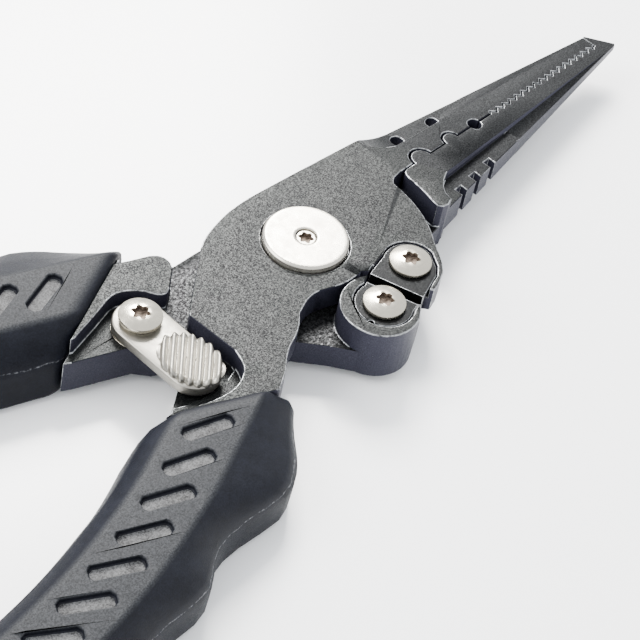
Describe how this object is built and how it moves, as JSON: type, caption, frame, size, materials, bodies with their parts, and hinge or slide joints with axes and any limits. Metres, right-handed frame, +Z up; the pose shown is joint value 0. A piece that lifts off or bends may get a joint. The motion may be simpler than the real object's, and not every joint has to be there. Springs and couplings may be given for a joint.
{
  "type": "fishing pliers",
  "caption": "Long-nose fishing pliers with a hooked tip, crimping notches, a replaceable side cutter, a thumb lock lever on the handle and rubber grips with finger swells.",
  "frame": {"origin": "on the jaw pivot's axis, in the plane of the pivot bolt's lower face, which the pliers lie on", "axes": "+X along the closed jaws to the tip, +Y to the side of the top arm's jaw, +Z up along the pivot's axis"},
  "size_m": [0.2346, 0.0895, 0.0144],
  "materials": {
    "arm_metal": "dark gunmetal coating with a fine metallic grain",
    "blade_steel": "ground and blackened",
    "stainless": "satin",
    "grip_rubber": "matt",
    "bronze": "machined",
    "polymer": "matt"
  },
  "bodies": {
    "top_body": {"top_arm": "arm_metal", "top_arm_grip": "grip_rubber", "pivot_bolt": "stainless", "pivot_bushing": "bronze", "pivot_top_disc": "stainless", "pivot_centre_screw": "stainless", "lap_washer": "polymer", "return_spring": "stainless", "upper_cutter_blade": "blade_steel", "upper_blade_screw": "stainless"},
    "bottom_body": {"bottom_arm": "arm_metal", "bottom_arm_grip": "grip_rubber", "lower_cutter_blade": "blade_steel", "lower_blade_screw": "stainless", "lock_lever_screw": "stainless", "lock_lever_spacer": "stainless", "lock_lever_washer": "stainless"},
    "lever_body": {"lock_lever": "stainless"}
  },
  "joints": [
    {"name": "jaw_hinge", "type": "hinge", "parent": "top_body", "child": "bottom_body", "pos_m": [0, 0, 0.0072], "axis": [0, 0, -1], "range_deg": [0, 22], "deforming": ["return_spring"]},
    {"name": "lock_lever_hinge", "type": "hinge", "parent": "bottom_body", "child": "lever_body", "pos_m": [-0.0355, 0.0069, 0.0112], "axis": [0, 0, -1], "range_deg": [0, 60]}
  ]
}
